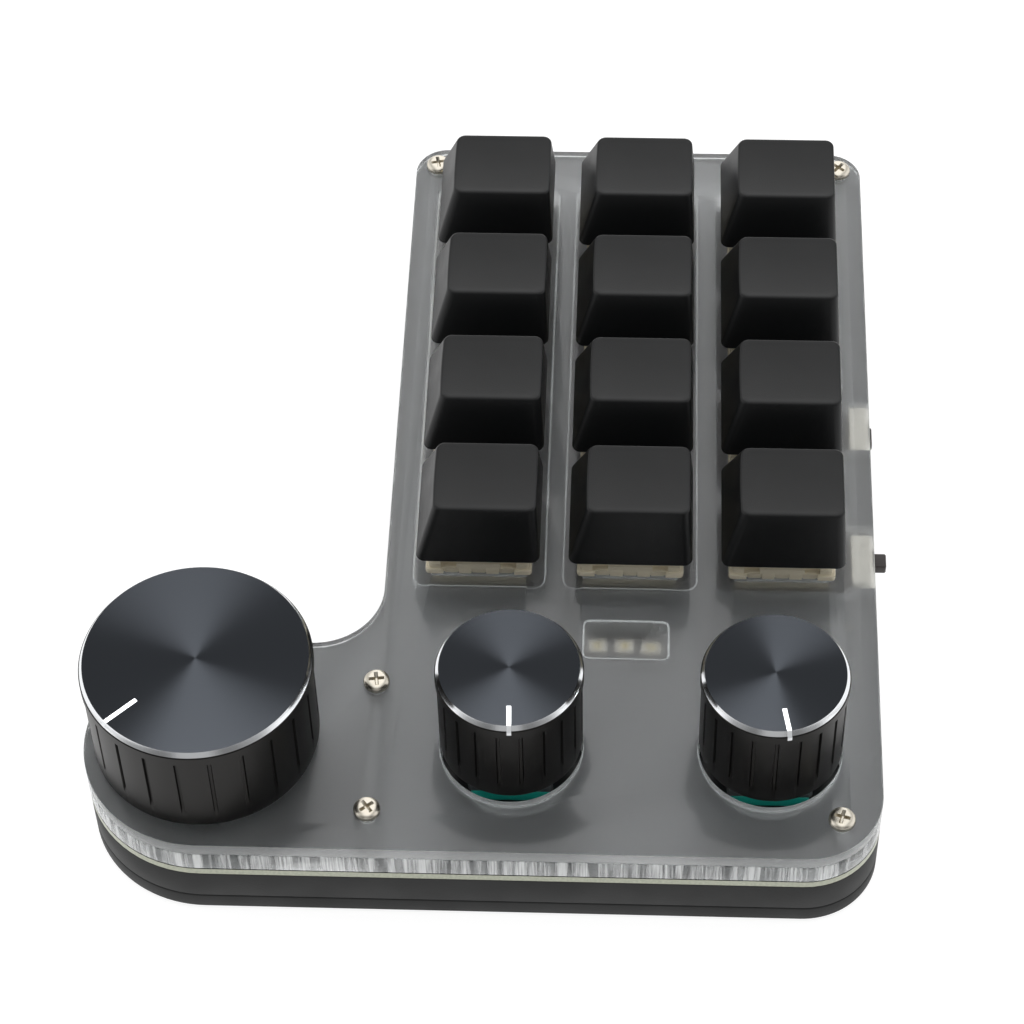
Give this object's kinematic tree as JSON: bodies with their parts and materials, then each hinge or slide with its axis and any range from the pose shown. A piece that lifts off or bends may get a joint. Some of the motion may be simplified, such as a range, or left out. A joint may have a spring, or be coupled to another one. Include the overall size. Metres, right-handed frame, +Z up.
{
  "type": "macro keypad with knobs",
  "caption": "Small L-shaped desk keypad with blank black keys in a grid, three push-and-turn knobs, a slide switch and a side button on a layered acrylic case.",
  "frame": {"origin": "under the centre of the key field, on the surface that the feet stand on", "axes": "+X along the keys towards the knobs, +Y away from the user towards the edge with the slide switch and the charging port, +Z up"},
  "size_m": [0.1344, 0.1148, 0.0354],
  "materials": {
    "frosted_acrylic": "frosted acrylic sheet, laser cut",
    "clear_acrylic": "clear acrylic sheet, laser cut",
    "board_laminate": "glass-epoxy laminate with black solder mask",
    "black_abs": "black moulded ABS, fine texture",
    "black_rubber": "moulded rubber",
    "nickel_steel": "nickel-plated steel",
    "turned_brass": "turned brass",
    "contact_copper": "stamped copper alloy",
    "cream_nylon": "moulded milky nylon",
    "brown_stem": "moulded acetal",
    "black_pbt": "moulded PBT, fine matte texture",
    "black_anodised": "turned aluminium, black anodised, diamond-cut rim",
    "die_cast_zinc": "die-cast zinc",
    "teal_phenolic": "moulded phenolic",
    "rotor_plastic": "moulded acetal",
    "led_resin": "clear moulded resin over white ceramic",
    "chip_epoxy": "moulded epoxy",
    "cell_foil": "aluminium-laminate pouch",
    "wire_pvc": "extruded PVC insulation"
  },
  "bodies": {
    "case": {"top_plate": "frosted_acrylic", "clear_spacer": "clear_acrylic", "circuit_board": "board_laminate", "case_frame": "black_abs", "base_plate": "black_abs", "rubber_feet": "black_rubber", "cover_screws": "nickel_steel", "standoffs": "turned_brass", "base_screws": "nickel_steel", "switch_tops": "cream_nylon", "switch_bases": "cream_nylon", "switch_contacts": "contact_copper", "key_springs": "nickel_steel", "encoder_housings": "die_cast_zinc", "encoder_bases": "teal_phenolic", "snap_domes": "nickel_steel", "slide_switch_body": "cream_nylon", "button_body": "cream_nylon", "usb_shell": "nickel_steel", "usb_tongue": "chip_epoxy", "status_leds": "led_resin", "controller_chips": "chip_epoxy", "battery": "cell_foil", "battery_leads": "wire_pvc"},
    "key_1": {"keycap_1": "black_pbt", "key_stem_1": "brown_stem"},
    "key_2": {"keycap_2": "black_pbt", "key_stem_2": "brown_stem"},
    "key_3": {"keycap_3": "black_pbt", "key_stem_3": "brown_stem"},
    "key_4": {"keycap_4": "black_pbt", "key_stem_4": "brown_stem"},
    "key_5": {"keycap_5": "black_pbt", "key_stem_5": "brown_stem"},
    "key_6": {"keycap_6": "black_pbt", "key_stem_6": "brown_stem"},
    "key_7": {"keycap_7": "black_pbt", "key_stem_7": "brown_stem"},
    "key_8": {"keycap_8": "black_pbt", "key_stem_8": "brown_stem"},
    "key_9": {"keycap_9": "black_pbt", "key_stem_9": "brown_stem"},
    "key_10": {"keycap_10": "black_pbt", "key_stem_10": "brown_stem"},
    "key_11": {"keycap_11": "black_pbt", "key_stem_11": "brown_stem"},
    "key_12": {"keycap_12": "black_pbt", "key_stem_12": "brown_stem"},
    "big_knob_rotor": {"encoder_rotor_1": "rotor_plastic"},
    "big_knob_grip": {"encoder_shaft_1": "die_cast_zinc", "big_knob": "black_anodised"},
    "front_knob_rotor": {"encoder_rotor_2": "rotor_plastic"},
    "front_knob_grip": {"encoder_shaft_2": "die_cast_zinc", "front_knob": "black_anodised"},
    "rear_knob_rotor": {"encoder_rotor_3": "rotor_plastic"},
    "rear_knob_grip": {"encoder_shaft_3": "die_cast_zinc", "rear_knob": "black_anodised"},
    "power_lever": {"slide_lever": "rotor_plastic"},
    "side_button": {"button_plunger": "rotor_plastic"}
  },
  "joints": [
    {"name": "key_1_press", "type": "slide", "parent": "case", "child": "key_1", "axis": [0, 0, -1], "range_m": [0, 0.004], "stiffness_N_per_m": 75, "springref_m": -0.004, "deforming": ["key_springs"]},
    {"name": "key_2_press", "type": "slide", "parent": "case", "child": "key_2", "axis": [0, 0, -1], "range_m": [0, 0.004], "stiffness_N_per_m": 75, "springref_m": -0.004, "deforming": ["key_springs"]},
    {"name": "key_3_press", "type": "slide", "parent": "case", "child": "key_3", "axis": [0, 0, -1], "range_m": [0, 0.004], "stiffness_N_per_m": 75, "springref_m": -0.004, "deforming": ["key_springs"]},
    {"name": "key_4_press", "type": "slide", "parent": "case", "child": "key_4", "axis": [0, 0, -1], "range_m": [0, 0.004], "stiffness_N_per_m": 75, "springref_m": -0.004, "deforming": ["key_springs"]},
    {"name": "key_5_press", "type": "slide", "parent": "case", "child": "key_5", "axis": [0, 0, -1], "range_m": [0, 0.004], "stiffness_N_per_m": 75, "springref_m": -0.004, "deforming": ["key_springs"]},
    {"name": "key_6_press", "type": "slide", "parent": "case", "child": "key_6", "axis": [0, 0, -1], "range_m": [0, 0.004], "stiffness_N_per_m": 75, "springref_m": -0.004, "deforming": ["key_springs"]},
    {"name": "key_7_press", "type": "slide", "parent": "case", "child": "key_7", "axis": [0, 0, -1], "range_m": [0, 0.004], "stiffness_N_per_m": 75, "springref_m": -0.004, "deforming": ["key_springs"]},
    {"name": "key_8_press", "type": "slide", "parent": "case", "child": "key_8", "axis": [0, 0, -1], "range_m": [0, 0.004], "stiffness_N_per_m": 75, "springref_m": -0.004, "deforming": ["key_springs"]},
    {"name": "key_9_press", "type": "slide", "parent": "case", "child": "key_9", "axis": [0, 0, -1], "range_m": [0, 0.004], "stiffness_N_per_m": 75, "springref_m": -0.004, "deforming": ["key_springs"]},
    {"name": "key_10_press", "type": "slide", "parent": "case", "child": "key_10", "axis": [0, 0, -1], "range_m": [0, 0.004], "stiffness_N_per_m": 75, "springref_m": -0.004, "deforming": ["key_springs"]},
    {"name": "key_11_press", "type": "slide", "parent": "case", "child": "key_11", "axis": [0, 0, -1], "range_m": [0, 0.004], "stiffness_N_per_m": 75, "springref_m": -0.004, "deforming": ["key_springs"]},
    {"name": "key_12_press", "type": "slide", "parent": "case", "child": "key_12", "axis": [0, 0, -1], "range_m": [0, 0.004], "stiffness_N_per_m": 75, "springref_m": -0.004, "deforming": ["key_springs"]},
    {"name": "big_knob_turn", "type": "hinge", "parent": "case", "child": "big_knob_rotor", "pos_m": [0.06825, -0.0594, 0.0135], "axis": [0, 0, 1], "continuous": true},
    {"name": "big_knob_push", "type": "slide", "parent": "big_knob_rotor", "child": "big_knob_grip", "axis": [0, 0, -1], "range_m": [0, 0.0005], "stiffness_N_per_m": 1500, "springref_m": -0.002},
    {"name": "front_knob_turn", "type": "hinge", "parent": "case", "child": "front_knob_rotor", "pos_m": [0.06825, -0.0163, 0.0135], "axis": [0, 0, 1], "continuous": true},
    {"name": "front_knob_push", "type": "slide", "parent": "front_knob_rotor", "child": "front_knob_grip", "axis": [0, 0, -1], "range_m": [0, 0.0005], "stiffness_N_per_m": 1500, "springref_m": -0.002},
    {"name": "rear_knob_turn", "type": "hinge", "parent": "case", "child": "rear_knob_rotor", "pos_m": [0.06825, 0.0202, 0.0135], "axis": [0, 0, 1], "continuous": true},
    {"name": "rear_knob_push", "type": "slide", "parent": "rear_knob_rotor", "child": "rear_knob_grip", "axis": [0, 0, -1], "range_m": [0, 0.0005], "stiffness_N_per_m": 1500, "springref_m": -0.002},
    {"name": "power_slide", "type": "slide", "parent": "case", "child": "power_lever", "axis": [1, 0, 0], "range_m": [0, 0.002]},
    {"name": "side_button_press", "type": "slide", "parent": "case", "child": "side_button", "axis": [0, -1, 0], "range_m": [0, 0.0003], "stiffness_N_per_m": 300, "springref_m": -0.003}
  ]
}
